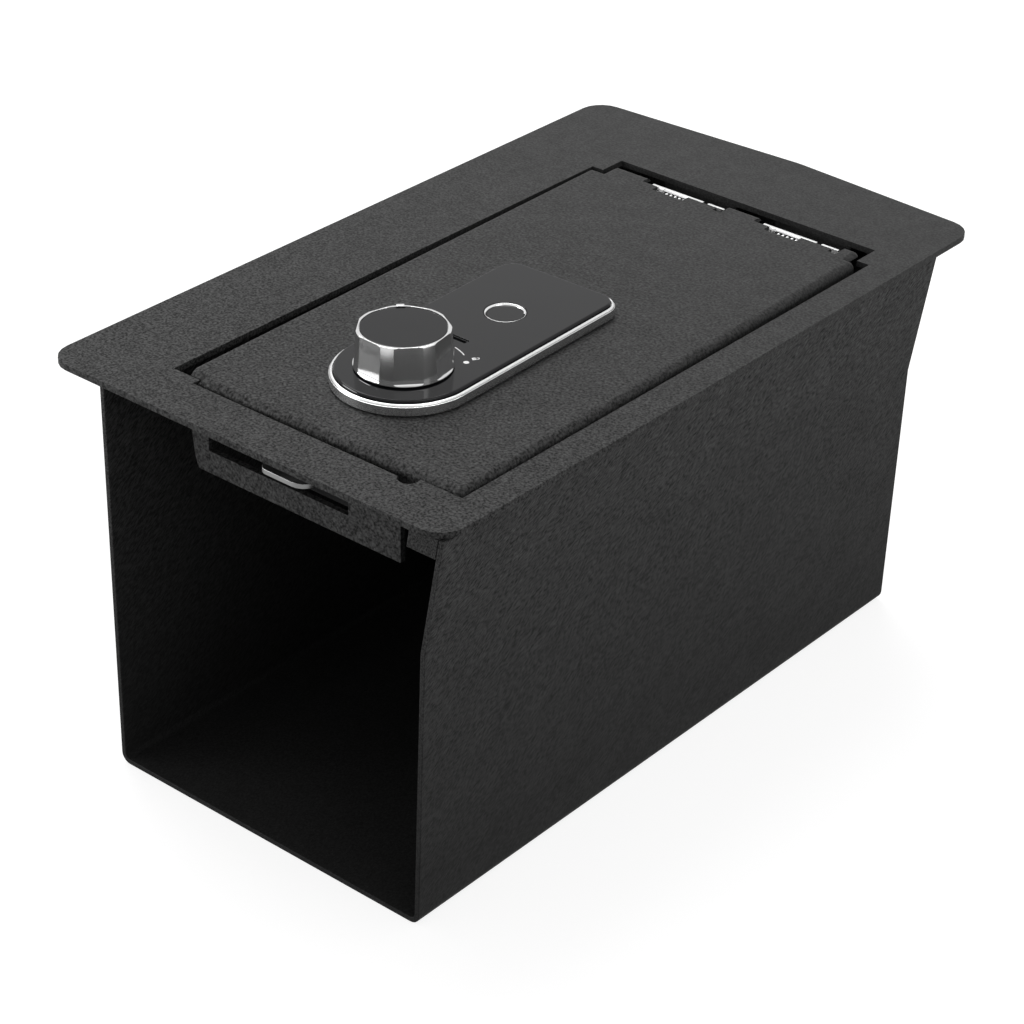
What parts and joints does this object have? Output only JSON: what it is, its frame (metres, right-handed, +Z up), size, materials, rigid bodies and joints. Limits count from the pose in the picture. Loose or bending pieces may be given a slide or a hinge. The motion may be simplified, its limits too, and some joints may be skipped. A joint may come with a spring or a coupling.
{
  "type": "vehicle console safe",
  "caption": "Steel console safe with an open front end, flat top frame, spring-hinged inset lid and a knob lock that draws a sliding bolt out of a strike flap.",
  "frame": {"origin": "centre of the outline on the ground, at the underside of the floor", "axes": "+Y from the open front end to the rear hinges, +X to the right seen from the front, +Z up"},
  "size_m": [0.2102, 0.3524, 0.2074],
  "materials": {
    "frame_coat": "fine textured black powder coat",
    "lid_coat": "coarse wrinkled black powder coat",
    "zinc_steel": "zinc plated",
    "bezel_metal": "satin chrome",
    "bright_metal": "polished chrome",
    "black_glass": "gloss black panel",
    "black_plastic": "smooth satin black",
    "moulding": "moulded black",
    "board": "green solder mask",
    "motor_can": "drawn steel can",
    "cell_wrap": "plain printed film",
    "contact_metal": "plated spring brass"
  },
  "bodies": {
    "body": {"body_shell": "frame_coat", "back_wall": "frame_coat", "top_frame": "frame_coat", "front_gusset": "frame_coat", "hinge_bracket_left": "frame_coat", "hinge_bracket_right": "frame_coat", "hinge_frame_leaf_left": "zinc_steel", "hinge_frame_leaf_right": "zinc_steel", "hinge_pin_left": "zinc_steel", "hinge_pin_right": "zinc_steel", "hinge_spring_left": "zinc_steel", "hinge_spring_right": "zinc_steel", "hinge_screw_left_1": "zinc_steel", "hinge_screw_left_2": "zinc_steel", "hinge_screw_right_1": "zinc_steel", "hinge_screw_right_2": "zinc_steel"},
    "lid": {"lid_pan": "lid_coat", "hinge_lid_leaf_left": "zinc_steel", "hinge_lid_leaf_right": "zinc_steel", "lock_bezel": "bezel_metal", "glass_panel": "black_glass", "sensor_ring": "bright_metal", "sensor_pad": "black_glass", "power_port": "black_plastic", "lock_case": "moulding", "bolt_guide": "moulding", "circuit_board": "board", "gear_motor": "motor_can", "case_nut_1": "zinc_steel", "case_nut_2": "zinc_steel", "case_nut_3": "zinc_steel", "case_nut_4": "zinc_steel", "battery_box": "moulding", "battery_cell_1": "cell_wrap", "battery_cell_2": "cell_wrap", "battery_cell_3": "cell_wrap", "battery_cell_4": "cell_wrap", "battery_contacts_front": "contact_metal", "battery_contacts_rear": "contact_metal", "battery_lead": "black_plastic", "box_nut_1": "zinc_steel", "box_nut_2": "zinc_steel"},
    "knob": {"knob_shell": "bright_metal", "knob_cap": "black_plastic", "knob_pointer": "bright_metal", "knob_spindle": "zinc_steel", "drive_cam": "zinc_steel"},
    "bolt": {"bolt": "zinc_steel"},
    "battery_cover": {"battery_cover": "moulding"}
  },
  "joints": [
    {"name": "lid_hinge", "type": "hinge", "parent": "body", "child": "lid", "pos_m": [0, 0.11385, 0.1772], "axis": [-1, 0, 0], "range_deg": [0, 95]},
    {"name": "knob_turn", "type": "hinge", "parent": "lid", "child": "knob", "pos_m": [0.0151, -0.099, 0.198], "axis": [0, 0, -1], "range_deg": [0, 90]},
    {"name": "bolt_slide", "type": "slide", "parent": "lid", "child": "bolt", "axis": [0, 1, 0], "range_m": [0, 0.009]},
    {"name": "battery_cover_slide", "type": "slide", "parent": "lid", "child": "battery_cover", "axis": [0, 1, 0], "range_m": [0, 0.05]}
  ],
  "couplings": [
    {"joint": "bolt_slide", "follows": "knob_turn", "m_per_rad": 0.0057295}
  ]
}
